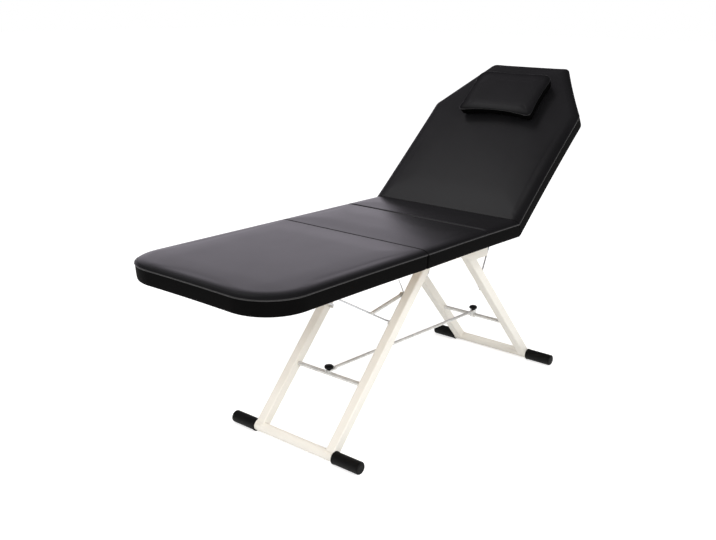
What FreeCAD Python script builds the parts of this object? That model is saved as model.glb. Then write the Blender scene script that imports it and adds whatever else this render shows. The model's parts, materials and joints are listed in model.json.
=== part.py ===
import FreeCAD, Part
import math
import os

# Folding massage bed: leg rest, seat with lumbar strip, reclining back and head pillow on A-shaped legs.
# Built with X = 0 at the leg rest hinge, +X towards the head, +Y to the left seen from the foot end, +Z up,
# then moved as a whole so that the origin is the middle of its footprint on the floor.

V = FreeCAD.Vector
AXIS_Y = V(0, 1, 0)
AXIS_Z = V(0, 0, 1)
SIDES = (("left", 1), ("right", -1))

# Upholstery
pad_width = 600.0
pad_bottom = 569.0
side_height = 44.5
crown = 14.0
crown_reach = 34.0
seam_reach = 4.0
crown_steps = 4
side_tuck = 4.0
side_waist_tuck = 3.2
side_draw = 2.5
legrest_length = 638.0
seat_length = 324.0
lumbar_length = 190.0
back_length = 721.0
back_shoulder = 499.0
back_head_width = 313.0
foot_corner = 130.0
seam_corner = 14.0
shoulder_corner = 32.0
head_corner = 26.0
least_corner = 2.0
seam_gap = 1.0
back_end_gap = 4.0
board_thickness = 10.0
board_inset = 10.0
back_board_start = 20.0

# Back and its play
back_angle = 41.0
back_raise = 14.0

# Head pillow, placed along the back from its hinge
pillow_width = 300.0
pillow_height = 198.0
pillow_thickness = 44.0
pillow_start = 438.0
pillow_corner = 18.0
pillow_draw = 5.0
pillow_front_draw = 14.0
pillow_flat = 14.0
pillow_lower_edge = 10.0
pillow_waist_tuck = 2.0
pillow_waist = 36.0
pillow_crown_reach = 42.0
pillow_gap = 0.3

# Butt hinges under the boards, set in from the pivot plates towards the edges of the pads
hinge_inset = 18.0
hinge_drop = 5.0
hinge_length = 60.0
knuckles = 3
knuckle_radius = 4.5
knuckle_gap = 0.4
pin_radius = 2.2
pin_clearance = 0.05
leaf_width = 34.0
leaf_thickness = 3.0
leaf_gap = 0.4

# Seat frame
rail_size = 25.0
rail_wall = 1.5
rail_start = 20.0
rail_end = 505.0
cross_front = 75.0
cross_rear = 470.0
plate_thickness = 4.0
plate_front = 30.0
plate_rear = 120.0
plate_drop_front = 17.0
plate_drop_rear = 44.0
plate_end_drop = 10.0

# Rails under the leg rest and the back
pad_rail_size = 20.0
pad_rail_inset = 100.0
pad_rail_start = 45.0
legrest_rail_length = 470.0
back_rail_length = 420.0

# Legs
leg_size = 32.0
leg_wall = 1.5
leg_spacing = 293.0
leg_side_gap = 0.5
front_foot_x = -245.0
rear_foot_x = 860.0
leg_reach = 450.0
pivot_drop = 47.0
leg_overrun = 12.0
plug_thickness = 2.0
foot_tube_radius = 16.0
foot_tube_wall = 1.5
foot_tube_length = 522.0
sleeve_radius = 20.5
sleeve_end = 3.0
floor_flat = 0.5
crossbar_radius = 7.0
crossbar_wall = 1.5
front_crossbar_down = 443.0
rear_crossbar_down = 461.0
bolt_radius = 4.0
bolt_clearance = 0.1
bolt_head_flats = 13.0
bolt_head_height = 5.3
bolt_tail = 2.0
nut_height = 6.5

# Tie rod and its two hand knobs
stay_radius = 5.5
stay_eye_radius = 10.5
stay_width = 16.0
stay_eye_clearance = 0.1
stay_boss_length = 18.0
fork_thickness = 5.0
fork_gap = 0.3
fork_ahead = 10.0
fork_behind = 30.0
fork_overlap = 8.0
fork_slot_clearance = 0.4
knob_radius = 15.0
knob_height = 17.0
knob_neck_radius = 6.0
knob_neck_height = 5.0
knob_edge = 5.0
knob_dome = 3.0
knob_gap = 0.3
knob_bolt_radius = 3.0
knob_bolt_clearance = 0.1
knob_bolt_end_gap = 0.5

# Wire props that hold the leg rest and the back up from the legs
prop_radius = 3.0
prop_spacing = 218.0
prop_drop = 8.0
prop_bend = 8.0
prop_foot = 15.0
legrest_prop_along = 320.0
back_prop_along = 300.0
front_peg_down = 225.0
rear_peg_down = 240.0
peg_radius = 4.0
peg_length = 15.5
peg_gap = 0.5
peg_lean = 6.3
clip_length = 18.0
clip_width = 16.0
clip_wall = 3.0
clip_clearance = 0.1
clip_offset = 60.0

# Lock bars between the leg rest prop and the front legs, with their release wires
lock_bar_radius = 6.0
lock_bar_length = 149.6
lock_bar_fall = 9.6
lock_bar_offset = 12.0
lock_stud_down = 128.0
lock_stud_radius = 4.0
lock_eye_radius = 7.5
lock_eye_clearance = 0.1
lock_pin_radius = 2.5
lock_pin_gap = 0.3
release_radius = 2.0
release_length = 62.0
release_lean = 29.0
release_offset = 3.0
release_eye_radius = 6.5

# Places worked out from the sizes above
legrest_hinge = V(0, 0, pad_bottom - hinge_drop)
lumbar_end = seat_length + lumbar_length
back_hinge = V(lumbar_end + hinge_drop + seam_gap / 2, 0, pad_bottom - hinge_drop)
foot_z = sleeve_radius - floor_flat
pivot_z = pad_bottom - pivot_drop
front_pivot = V(front_foot_x + leg_reach, 0, pivot_z)
rear_pivot = V(rear_foot_x - leg_reach, 0, pivot_z)
leg_angle = math.atan2(pivot_z - foot_z, leg_reach)
front_down = V(-math.cos(leg_angle), 0, -math.sin(leg_angle))
rear_down = V(math.cos(leg_angle), 0, -math.sin(leg_angle))
leg_length = math.hypot(leg_reach, pivot_z - foot_z)
front_crossbar_at = front_pivot + front_down * front_crossbar_down
rear_crossbar_at = rear_pivot + rear_down * rear_crossbar_down
leg_inner = leg_spacing / 2 - leg_size / 2
leg_outer = leg_spacing / 2 + leg_size / 2
plate_inner = leg_outer + leg_side_gap
rail_y = plate_inner - rail_size / 2
pad_top = side_height + crown
leaf_start = hinge_drop * math.tan(math.radians(back_angle + back_raise) / 2) + leaf_gap


def box(low, high):
    """Box between two corners."""
    size = high - low
    return Part.makeBox(size.x, size.y, size.z, low)


def rod(start, end, radius):
    """Round bar between two points."""
    along = end - start
    return Part.makeCylinder(radius, along.Length, start, along)


def across(at, y_from, y_to, radius):
    """Round bar along Y at a place in the side view."""
    low = min(y_from, y_to)
    return Part.makeCylinder(radius, abs(y_to - y_from), V(at.x, low, at.z), AXIS_Y)


def square_bar(start, end, size):
    """Square bar between two points of one side-view plane."""
    along = end - start
    half = size / 2
    bar = box(V(0, -half, -half), V(along.Length, half, half))
    bar.rotate(V(), AXIS_Y, -math.degrees(math.atan2(along.z, along.x)))
    bar.translate(start)
    return bar


def square_tube(start, end, size, wall):
    """Square tube between two points of one side-view plane, open at both ends."""
    return square_bar(start, end, size).cut(square_bar(start, end, size - 2 * wall))


def hexagon(centre, flats, height):
    """Hexagonal prism along +Y from its centre."""
    corner = flats / math.sqrt(3)
    turns = [math.radians(60 * side) for side in range(7)]
    points = [centre + V(corner * math.cos(turn), 0, corner * math.sin(turn)) for turn in turns]
    return Part.Face(Part.makePolygon(points)).extrude(V(0, height, 0))


def mirrored(shape):
    """Copy of a shape on the other side of the bed."""
    return shape.mirror(V(), AXIS_Y)


def raised(shape):
    """Copy of a shape modelled with the back lying flat, turned up with the back."""
    copy = shape.copy()
    copy.rotate(back_hinge, AXIS_Y, -back_angle)
    return copy


def outline_wire(corners, draws, insets, height):
    """Closed outline of rounded corners (x, y, radius); each side has its own inset and drawn-in amount."""
    count = len(corners)
    points = [V(x, y, height) for x, y, radius in corners]
    ways = [(points[(i + 1) % count] - points[i]).normalize() for i in range(count)]
    normals = [V(-way.y, way.x, 0) for way in ways]
    arcs = []
    for i in range(count):
        before = normals[i - 1]
        after = normals[i]
        cosine = before.dot(after)
        move_before = (insets[i - 1] - cosine * insets[i]) / (1 - cosine ** 2)
        move_after = (insets[i] - cosine * insets[i - 1]) / (1 - cosine ** 2)
        radius = max(corners[i][2] - min(insets[i - 1], insets[i]), least_corner)
        corner = points[i] + before * move_before + after * move_after
        reach = radius * math.tan(before.getAngle(after) / 2)
        first = corner - ways[i - 1] * reach
        last = corner + ways[i] * reach
        middle = first + before * radius - (before + after).normalize() * radius
        arcs.append((first, middle, last))
    edges = []
    for i in range(count):
        first, middle, last = arcs[i]
        following = arcs[(i + 1) % count][0]
        edges.append(Part.Arc(first, middle, last).toShape())
        if draws[i]:
            waist = (last + following) * 0.5 + normals[i] * draws[i]
            edges.append(Part.Arc(last, waist, following).toShape())
        else:
            edges.append(Part.makeLine(last, following))
    return Part.Wire(edges)


def cushion(corners, draws, levels, base):
    """Closed cushion lofted through outlines at (height, insets) levels above its base."""
    wires = [outline_wire(corners, draws, insets, base + height) for height, insets in levels]
    return Part.makeLoft(wires, True, True)


def bench_pad(corners, seams):
    """Crowned bench pad: outer sides tucked in and rounded over, seam sides upright with a small edge."""
    draws = [0 if side in seams else side_draw for side in range(len(corners))]

    def insets(outer, seam):
        return [seam if side in seams else outer for side in range(len(corners))]

    levels = [(0, insets(side_tuck, 0)), (side_height / 2, insets(side_waist_tuck, 0)),
              (side_height, insets(0, 0))]
    for step in range(1, crown_steps + 1):
        turn = math.pi / 2 * step / crown_steps
        over = 1 - math.cos(turn)
        levels.append((side_height + crown * math.sin(turn), insets(crown_reach * over, seam_reach * over)))
    return cushion(corners, draws, levels, pad_bottom)


def rectangle(x_from, x_to, width, radius_from, radius_to):
    """Corners of a rectangle, counter-clockwise, with a radius for each end."""
    half = width / 2
    return [(x_from, -half, radius_from), (x_to, -half, radius_to),
            (x_to, half, radius_to), (x_from, half, radius_from)]


def back_corners():
    """Corners of the back lying flat: square at the hinge, shoulders cut off towards the head."""
    half = pad_width / 2
    head = back_head_width / 2
    start = back_hinge.x + back_end_gap
    shoulder = back_hinge.x + back_shoulder
    end = back_hinge.x + back_length
    return [(start, -half, seam_corner), (shoulder, -half, shoulder_corner), (end, -head, head_corner),
            (end, head, head_corner), (shoulder, half, shoulder_corner), (start, half, seam_corner)]


def beyond(x, height, lean, sign):
    """Large block beyond a sloping cut across the bed, used to bevel the end of a pad."""
    middle = sign * pad_width / 2
    block = square_bar(V(middle - pad_width / 2, 0, 0), V(middle + pad_width / 2, 0, 0), 2 * pad_width)
    block.rotate(V(), AXIS_Y, lean)
    block.translate(V(x, 0, height))
    return block


def board(corners):
    """Plywood board under a pad."""
    count = len(corners)
    wire = outline_wire(corners, [0] * count, [board_inset] * count, pad_bottom)
    return Part.Face(wire).extrude(V(0, 0, board_thickness))


def upholstery():
    """Pads and boards of the leg rest, seat and lumbar strip."""
    legrest_outline = rectangle(-legrest_length, -seam_gap, pad_width, foot_corner, seam_corner)
    legrest_board = board(legrest_outline)
    legrest_pad = bench_pad(legrest_outline, [1])
    seat_board = board(rectangle(seam_gap, lumbar_end, pad_width, seam_corner, seam_corner))
    seat_outline = rectangle(seam_gap, seat_length - seam_gap, pad_width, seam_corner, seam_corner)
    seat_pad = bench_pad(seat_outline, [1, 3])
    lumbar_outline = rectangle(seat_length + seam_gap, lumbar_end, pad_width, seam_corner, seam_corner)
    lumbar_pad = bench_pad(lumbar_outline, [1, 3])
    lumbar_pad = lumbar_pad.cut(beyond(lumbar_end, pad_bottom, -back_raise, 1))
    return {"legrest_board": legrest_board, "legrest_pad": legrest_pad.cut(legrest_board),
            "seat_board": seat_board, "seat_pad": seat_pad.cut(seat_board),
            "lumbar_pad": lumbar_pad.cut(seat_board)}


def back_upholstery():
    """Board and pad of the back, bevelled at the hinge to stay clear of the lumbar strip."""
    corners = back_corners()
    start = back_hinge.x + back_end_gap
    back_board = board(corners).cut(beyond(back_hinge.x + back_board_start, pad_bottom, 0, -1))
    back_pad = bench_pad(corners, [len(corners) - 1])
    back_pad = back_pad.cut(beyond(start, pad_bottom, back_angle, -1)).cut(back_board)
    return {"back_board": raised(back_board), "back_pad": raised(back_pad)}


def head_pillow():
    """Small crowned pillow lying on the upper part of the back."""
    start = back_hinge.x + pillow_start
    corners = rectangle(start, start + pillow_height, pillow_width, pillow_corner, pillow_corner)
    levels = [(0, [pillow_flat] * 4), (pillow_lower_edge, [pillow_waist_tuck] * 4), (pillow_waist, [0] * 4)]
    rise = pillow_thickness - pillow_waist
    for step in range(1, crown_steps + 1):
        turn = math.pi / 2 * step / crown_steps
        over = pillow_crown_reach * (1 - math.cos(turn))
        levels.append((pillow_waist + rise * math.sin(turn), [over] * 4))
    base = pad_bottom + pad_top + pillow_gap
    draws = [pillow_draw, pillow_draw, pillow_draw, pillow_front_draw]
    return {"head_pillow": raised(cushion(corners, draws, levels, base))}


def butt_hinge(axis, sign):
    """One hinge in the middle of the bed: fixed leaf with two knuckles, moving leaf with one, and the pin.

    The moving leaf lies on the side of the axis that sign names, and both leaves lie flat under the boards.
    """
    half = hinge_length / 2
    inner = half / knuckles
    plate_top = axis.z + hinge_drop
    near = leaf_start * sign
    far = leaf_width * sign

    def leaf(x_from, x_to):
        low = min(x_from, x_to)
        high = max(x_from, x_to)
        return box(V(axis.x + low, -half, plate_top - leaf_thickness), V(axis.x + high, half, plate_top))

    moving = leaf(near, far).fuse(across(axis, -inner, inner, knuckle_radius))
    fixed = leaf(-near, -far)
    gap_radius = knuckle_radius + knuckle_gap
    for side in (1, -1):
        fixed = fixed.fuse(across(axis, side * (inner + knuckle_gap), side * half, knuckle_radius))
        moving = moving.cut(across(axis, side * inner, side * (half + knuckle_gap), gap_radius))
    fixed = fixed.cut(across(axis, -inner - knuckle_gap, inner + knuckle_gap, gap_radius))
    moving = moving.cut(across(axis, -half, half, pin_radius + pin_clearance))
    fixed = fixed.cut(across(axis, -half, half, pin_radius))
    return fixed, moving, across(axis, -half, half, pin_radius)


def both_sides(shape, y):
    """Two copies of a shape, moved out to each side of the bed."""
    copies = []
    for name, sign in SIDES:
        copy = shape.copy()
        copy.translate(V(0, sign * y, 0))
        copies.append(copy)
    return Part.makeCompound(copies)


def hinges():
    """Two butt hinges for the leg rest and two for the back."""
    y = plate_inner + plate_thickness + hinge_inset + hinge_length / 2
    fixed, moving, pin = butt_hinge(legrest_hinge, -1)
    parts = {"legrest_hinge_seat_leaves": both_sides(fixed, y),
             "legrest_hinge_leaves": both_sides(moving, y),
             "legrest_hinge_pins": both_sides(pin, y)}
    fixed, moving, pin = butt_hinge(back_hinge, 1)
    parts["back_hinge_seat_leaves"] = both_sides(fixed, y)
    parts["back_hinge_leaves"] = both_sides(raised(moving), y)
    parts["back_hinge_pins"] = both_sides(pin, y)
    return parts


def seat_frame():
    """Rails and cross tubes under the seat, and the plates that carry the leg pivots."""
    rail_z = pad_bottom - rail_size / 2
    inner = rail_y - rail_size / 2
    parts = {}
    for name, sign in SIDES:
        y = sign * rail_y
        parts["seat_rail_" + name] = square_tube(V(rail_start, y, rail_z), V(rail_end, y, rail_z),
                                                 rail_size, rail_wall)
    for name, x in (("front", cross_front), ("rear", cross_rear)):
        tube = square_tube(V(-inner, 0, 0), V(inner, 0, 0), rail_size, rail_wall)
        tube.rotate(V(), AXIS_Z, 90)
        tube.translate(V(x, 0, rail_z))
        parts["seat_cross_" + name] = tube
    low_front = pivot_z - plate_drop_front
    low_rear = pivot_z - plate_drop_rear
    front = front_pivot.x - plate_front
    rear = rear_pivot.x + plate_rear
    corners = [(front, pad_bottom), (front, low_front), (rear_pivot.x - plate_front, low_front),
               (rear_pivot.x + plate_front, low_rear), (rear, low_rear), (rear, pad_bottom - plate_end_drop),
               (rail_end, pad_bottom)]
    points = [V(x, plate_inner, z) for x, z in corners]
    plate = Part.Face(Part.makePolygon(points + points[:1])).extrude(V(0, plate_thickness, 0))
    for pivot in (front_pivot, rear_pivot):
        plate = plate.cut(across(pivot, plate_inner, plate_inner + plate_thickness, bolt_radius))
    parts["pivot_plate_left"] = plate
    parts["pivot_plate_right"] = mirrored(plate)
    bolts = []
    nuts = []
    plate_outer = plate_inner + plate_thickness
    nut_face = leg_inner - leg_side_gap
    for pivot in (front_pivot, rear_pivot):
        end = nut_face - nut_height - bolt_tail
        head = hexagon(V(pivot.x, plate_outer, pivot.z), bolt_head_flats, bolt_head_height)
        bolt = across(pivot, end, plate_outer, bolt_radius).fuse(head)
        nut = hexagon(V(pivot.x, nut_face - nut_height, pivot.z), bolt_head_flats, nut_height)
        nut = nut.cut(across(pivot, end, plate_outer, bolt_radius))
        bolts += [bolt, mirrored(bolt)]
        nuts += [nut, mirrored(nut)]
    parts["leg_pivot_bolts"] = Part.makeCompound(bolts)
    parts["leg_pivot_nuts"] = Part.makeCompound(nuts)
    return parts


def pad_rails():
    """Square rails that stiffen the boards of the leg rest and the back."""
    z = pad_bottom - pad_rail_size / 2
    parts = {}
    for name, sign in SIDES:
        y = sign * (pad_width / 2 - pad_rail_inset)
        end = V(-pad_rail_start, y, z)
        rail = square_tube(end - V(legrest_rail_length, 0, 0), end, pad_rail_size, rail_wall)
        parts["legrest_rail_" + name] = rail
        start = V(back_hinge.x + pad_rail_start, y, z)
        rail = square_tube(start, start + V(back_rail_length, 0, 0), pad_rail_size, rail_wall)
        parts["back_rail_" + name] = raised(rail)
    return parts


def leg_frame(end_name, pivot, down, crossbar_at):
    """One pair of legs with its crossbar, foot tube, rubber sleeves and end plugs."""
    foot = pivot + down * leg_length
    half_foot = foot_tube_length / 2
    parts = {}
    plugs = []
    foot_space = across(foot, -half_foot, half_foot, foot_tube_radius)
    for name, sign in SIDES:
        aside = V(0, sign * leg_spacing / 2, 0)
        top = pivot - down * leg_overrun + aside
        leg = square_tube(top, foot + aside, leg_size, leg_wall)
        leg = leg.cut(foot_space)
        leg = leg.cut(across(pivot, sign * leg_inner, sign * leg_outer, bolt_radius + bolt_clearance))
        parts[end_name + "_leg_" + name] = leg
        plugs.append(square_bar(top - down * plug_thickness, top, leg_size))
        inner_end = leg_outer + leg_side_gap
        outer_end = half_foot + sleeve_end
        sleeve = across(foot, sign * inner_end, sign * outer_end, sleeve_radius).cut(foot_space)
        floor = box(V(foot.x - sleeve_radius, -outer_end, -sleeve_radius),
                    V(foot.x + sleeve_radius, outer_end, 0))
        parts[end_name + "_foot_sleeve_" + name] = sleeve.cut(floor)
    tube = foot_space.cut(across(foot, -half_foot, half_foot, foot_tube_radius - foot_tube_wall))
    parts[end_name + "_foot_tube"] = tube
    bar = across(crossbar_at, -leg_inner, leg_inner, crossbar_radius)
    bar = bar.cut(across(crossbar_at, -leg_inner, leg_inner, crossbar_radius - crossbar_wall))
    parts[end_name + "_crossbar"] = bar
    parts[end_name + "_leg_plugs"] = Part.makeCompound(plugs)
    return parts


def pegs(foot_at, lean):
    """Two pegs on the legs' inner faces, just under the feet of a wire prop."""
    away = prop_radius + peg_radius + peg_gap
    turn = math.radians(lean)
    at = foot_at + V(math.sin(turn), 0, -math.cos(turn)) * away
    peg = across(at, leg_inner - peg_length, leg_inner, peg_radius)
    return Part.makeCompound([peg, mirrored(peg)])


def bent_wire(points, radius, bend):
    """Round wire along a row of points, with its corners bent to a radius."""
    edges = []
    start = points[0]
    for before, corner, after in zip(points, points[1:], points[2:]):
        into = (corner - before).normalize()
        out = (after - corner).normalize()
        half_turn = into.getAngle(out) / 2
        reach = bend * math.tan(half_turn)
        first = corner - into * reach
        last = corner + out * reach
        middle = corner + (out - into).normalize() * bend * (1 / math.cos(half_turn) - 1)
        edges.append(Part.makeLine(start, first))
        edges.append(Part.Arc(first, middle, last).toShape())
        start = last
    edges.append(Part.makeLine(start, points[-1]))
    section = Part.Wire(Part.makeCircle(radius, points[0], points[1] - points[0]))
    return Part.Wire(edges).makePipeShell([section], True, False)


def wire_prop(prefix, pivot, foot_at):
    """Wire prop: a bar turning in its clips, and a bent arm on each side with its foot turned outwards."""
    half = prop_spacing / 2
    bar_half = half - 2 * prop_bend
    parts = {prefix + "_prop_bar": across(pivot, -bar_half, bar_half, prop_radius)}
    for name, sign in SIDES:
        out = V(0, sign, 0)
        points = [pivot + out * bar_half, pivot + out * half, foot_at + out * half,
                  foot_at + out * (half + prop_foot)]
        parts[prefix + "_prop_arm_" + name] = bent_wire(points, prop_radius, prop_bend)
    return parts


def prop_clips(pivot):
    """Two saddle clips that hold a prop's bar under a board lying flat."""
    half = clip_width / 2
    clips = []
    for name, sign in SIDES:
        y = sign * clip_offset
        low = V(pivot.x - clip_length / 2, y - half, pivot.z - prop_radius - clip_wall)
        clip = box(low, V(pivot.x + clip_length / 2, y + half, pad_bottom))
        clips.append(clip.cut(across(pivot, y - half, y + half, prop_radius + clip_clearance)))
    return Part.makeCompound(clips)


def props():
    """Wire props of the leg rest and the back, their clips, and the pegs that they stand on."""
    legrest_pivot = V(-legrest_prop_along, 0, pad_bottom - prop_drop)
    legrest_foot = front_pivot + front_down * front_peg_down
    back_pivot_flat = V(back_hinge.x + back_prop_along, 0, pad_bottom - prop_drop)
    back_pivot = FreeCAD.Rotation(AXIS_Y, -back_angle).multVec(back_pivot_flat - back_hinge) + back_hinge
    back_foot = rear_pivot + rear_down * rear_peg_down
    parts = wire_prop("legrest", legrest_pivot, legrest_foot)
    parts.update(wire_prop("back", back_pivot, back_foot))
    parts["legrest_prop_clips"] = prop_clips(legrest_pivot)
    parts["back_prop_clips"] = raised(prop_clips(back_pivot_flat))
    parts["front_prop_pegs"] = pegs(legrest_foot, peg_lean)
    from_hinge = back_foot - back_hinge
    parts["rear_prop_pegs"] = pegs(back_foot, math.degrees(math.atan2(from_hinge.x, -from_hinge.z)))
    return parts


def lock_bars():
    """Lock bars that reach from studs on the front legs to the leg rest prop, and their release wires."""
    stud_at = front_pivot + front_down * lock_stud_down
    fall = math.radians(lock_bar_fall)
    bar_end = stud_at - V(math.cos(fall), 0, math.sin(fall)) * lock_bar_length
    lean = math.radians(release_lean)
    wire_end = stud_at + V(-math.sin(lean), 0, math.cos(lean)) * release_length
    bar_y = leg_inner - lock_bar_offset
    wire_y = leg_inner - release_offset
    bar_inner = bar_y - lock_bar_radius
    bar_outer = bar_y + lock_bar_radius
    aside = V(0, bar_y, 0)
    arm_outer = prop_spacing / 2 + prop_radius
    bar = rod(stud_at + aside, bar_end + aside, lock_bar_radius)
    bar = bar.fuse(across(stud_at, bar_inner, bar_outer, lock_eye_radius))
    bar = bar.fuse(across(bar_end, arm_outer + lock_pin_gap, bar_y, lock_pin_radius))
    bar = bar.cut(across(stud_at, bar_inner, bar_outer, lock_stud_radius + lock_eye_clearance))
    out = V(0, wire_y, 0)
    wire = rod(stud_at + out, wire_end + out, release_radius)
    wire = wire.fuse(across(stud_at, wire_y - release_radius, wire_y + release_radius, release_eye_radius))
    wire = wire.cut(across(stud_at, wire_y - release_radius, wire_y + release_radius,
                           lock_stud_radius + lock_eye_clearance))
    stud = across(stud_at, bar_inner, leg_inner, lock_stud_radius)
    return {"lock_studs": Part.makeCompound([stud, mirrored(stud)]),
            "legrest_lock_bar_left": bar, "legrest_lock_bar_right": mirrored(bar),
            "release_wire_left": wire, "release_wire_right": mirrored(wire)}


def hand_knob(at, bolt_length):
    """Mushroom knob standing on a place, with its bolt reaching down from there."""
    top = knob_height
    shoulder = top - knob_edge
    slope = math.sqrt(0.5) * knob_edge
    bend = V(knob_radius - knob_edge + slope, 0, top - knob_dome - knob_edge + slope)
    edges = [Part.makeLine(V(0, 0, 0), V(knob_neck_radius, 0, 0)),
             Part.makeLine(V(knob_neck_radius, 0, 0), V(knob_neck_radius, 0, knob_neck_height)),
             Part.makeLine(V(knob_neck_radius, 0, knob_neck_height), V(knob_radius, 0, knob_neck_height)),
             Part.makeLine(V(knob_radius, 0, knob_neck_height), V(knob_radius, 0, shoulder - knob_dome)),
             Part.Arc(V(knob_radius, 0, shoulder - knob_dome), bend,
                      V(knob_radius - knob_edge, 0, top - knob_dome)).toShape(),
             Part.makeLine(V(knob_radius - knob_edge, 0, top - knob_dome), V(0, 0, top)),
             Part.makeLine(V(0, 0, top), V(0, 0, 0))]
    knob = Part.Face(Part.Wire(edges)).revolve(V(), AXIS_Z, 360)
    knob = knob.fuse(Part.makeCylinder(knob_bolt_radius, bolt_length, V(0, 0, -bolt_length)))
    knob.translate(at)
    return knob


def tie_rod():
    """Rod that ties the two crossbars: an eye round the rear one, a fork on the front one, and two knobs."""
    half = stay_width / 2
    front = front_crossbar_at
    rear = rear_crossbar_at
    bar_top = front.z + crossbar_radius
    stay_start_z = bar_top + stay_radius
    stay_end_z = rear.z + crossbar_radius + stay_radius
    fork_low = bar_top + fork_gap
    fork_high = fork_low + fork_thickness
    slot = knob_bolt_radius + fork_slot_clearance
    fork = box(V(front.x - fork_ahead, -half, fork_low), V(front.x + fork_behind, half, fork_high))
    fork = fork.cut(box(V(front.x - fork_ahead, -slot, fork_low), V(front.x, slot, fork_high)))
    fork = fork.cut(Part.makeCylinder(slot, fork_thickness, V(front.x, 0, fork_low)))
    boss_half = stay_boss_length / 2
    boss_top = stay_end_z + stay_radius
    boss = box(V(rear.x - boss_half, -half, rear.z), V(rear.x + boss_half, half, boss_top))
    rod_start = V(front.x + fork_behind - fork_overlap, 0, stay_start_z)
    stay = rod(rod_start, V(rear.x, 0, stay_end_z), stay_radius).fuse(fork).fuse(boss)
    stay = stay.fuse(across(rear, -half, half, stay_eye_radius))
    stay = stay.cut(across(rear, -half, half, crossbar_radius + stay_eye_clearance))
    rear_knob_at = V(rear.x, 0, boss_top + knob_gap)
    rear_bolt = rear_knob_at.z - rear.z - crossbar_radius - knob_bolt_end_gap
    hole = knob_bolt_radius + knob_bolt_clearance
    stay = stay.cut(rod(V(rear.x, 0, rear.z), rear_knob_at, hole))
    front_knob_at = V(front.x, 0, fork_high + knob_gap)
    front_bolt = front_knob_at.z - front.z + crossbar_radius
    parts = {"tie_rod": stay,
             "front_knob": hand_knob(front_knob_at, front_bolt),
             "rear_knob": hand_knob(rear_knob_at, rear_bolt)}
    return parts, rod(front_knob_at - V(0, 0, front_bolt), front_knob_at, hole)


def bed():
    """Every piece of the bed by name."""
    parts = upholstery()
    parts.update(back_upholstery())
    parts.update(head_pillow())
    parts.update(hinges())
    parts.update(seat_frame())
    parts.update(pad_rails())
    parts.update(leg_frame("front", front_pivot, front_down, front_crossbar_at))
    parts.update(leg_frame("rear", rear_pivot, rear_down, rear_crossbar_at))
    parts.update(props())
    parts.update(lock_bars())
    rods, knob_hole = tie_rod()
    parts.update(rods)
    parts["front_crossbar"] = parts["front_crossbar"].cut(knob_hole)
    return parts


pieces = bed()
limits = [shape.optimalBoundingBox() for shape in pieces.values()]
middle = (min(limit.XMin for limit in limits) + max(limit.XMax for limit in limits)) / 2
origin_shift = V(-middle, 0, -min(limit.ZMin for limit in limits))

os.makedirs("parts", exist_ok=True)
for node, shape in pieces.items():
    shape.translate(origin_shift)
    shape.exportStep("parts/" + node + ".step")
    print(node, len(shape.Solids), "solids", round(shape.Volume / 1000, 1), "cm3", shape.isValid())
print("origin shift", origin_shift)
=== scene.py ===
import json
import math

import bmesh
import bpy
import numpy as np
from mathutils import Matrix, Vector


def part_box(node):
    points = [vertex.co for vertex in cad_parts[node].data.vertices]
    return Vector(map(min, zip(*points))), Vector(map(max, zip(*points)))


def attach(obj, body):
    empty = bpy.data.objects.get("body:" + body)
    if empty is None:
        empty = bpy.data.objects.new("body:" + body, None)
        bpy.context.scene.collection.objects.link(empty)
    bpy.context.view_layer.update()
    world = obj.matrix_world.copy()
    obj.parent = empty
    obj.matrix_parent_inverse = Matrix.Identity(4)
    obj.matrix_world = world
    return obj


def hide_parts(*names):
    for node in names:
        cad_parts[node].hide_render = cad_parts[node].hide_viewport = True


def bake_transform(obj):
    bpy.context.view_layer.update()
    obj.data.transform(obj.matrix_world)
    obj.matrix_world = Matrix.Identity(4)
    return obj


# Looks of a folding massage bed: leather cushions, cream steel frame, wire props and rubber feet in a white studio.
# Everything is in metres in the frame of the CAD model: +X to the head end, -Y to the photographed side, +Z up.

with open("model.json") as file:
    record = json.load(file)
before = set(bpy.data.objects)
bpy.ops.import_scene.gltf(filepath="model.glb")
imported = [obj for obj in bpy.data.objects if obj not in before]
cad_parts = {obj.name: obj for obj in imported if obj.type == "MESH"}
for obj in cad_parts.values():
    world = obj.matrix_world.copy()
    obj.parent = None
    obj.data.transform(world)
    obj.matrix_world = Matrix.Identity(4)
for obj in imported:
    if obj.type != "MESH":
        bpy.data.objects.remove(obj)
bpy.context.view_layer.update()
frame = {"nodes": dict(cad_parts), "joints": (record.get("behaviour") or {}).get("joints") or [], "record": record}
nodes = frame["nodes"]
joints = {joint["name"]: joint for joint in frame["joints"]}

MM = 0.001
AXIS_Y = Vector((0, 1, 0))
AXIS_Z = Vector((0, 0, 1))
SIDES = (("left", 1), ("right", -1))

# Camera of the photograph, placed from the point on the floor under the leg rest hinge
IMAGE_WIDTH = 716
FOCAL_PIXELS = 917.5
SENSOR_WIDTH = 36.0
CAMERA_FROM_HINGE = Vector((-2.0609, -1.7757, 1.3126))
CAMERA_AZIMUTH = -49.846
CAMERA_ELEVATION = 16.462
CAMERA_ROLL = 0.67

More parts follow.
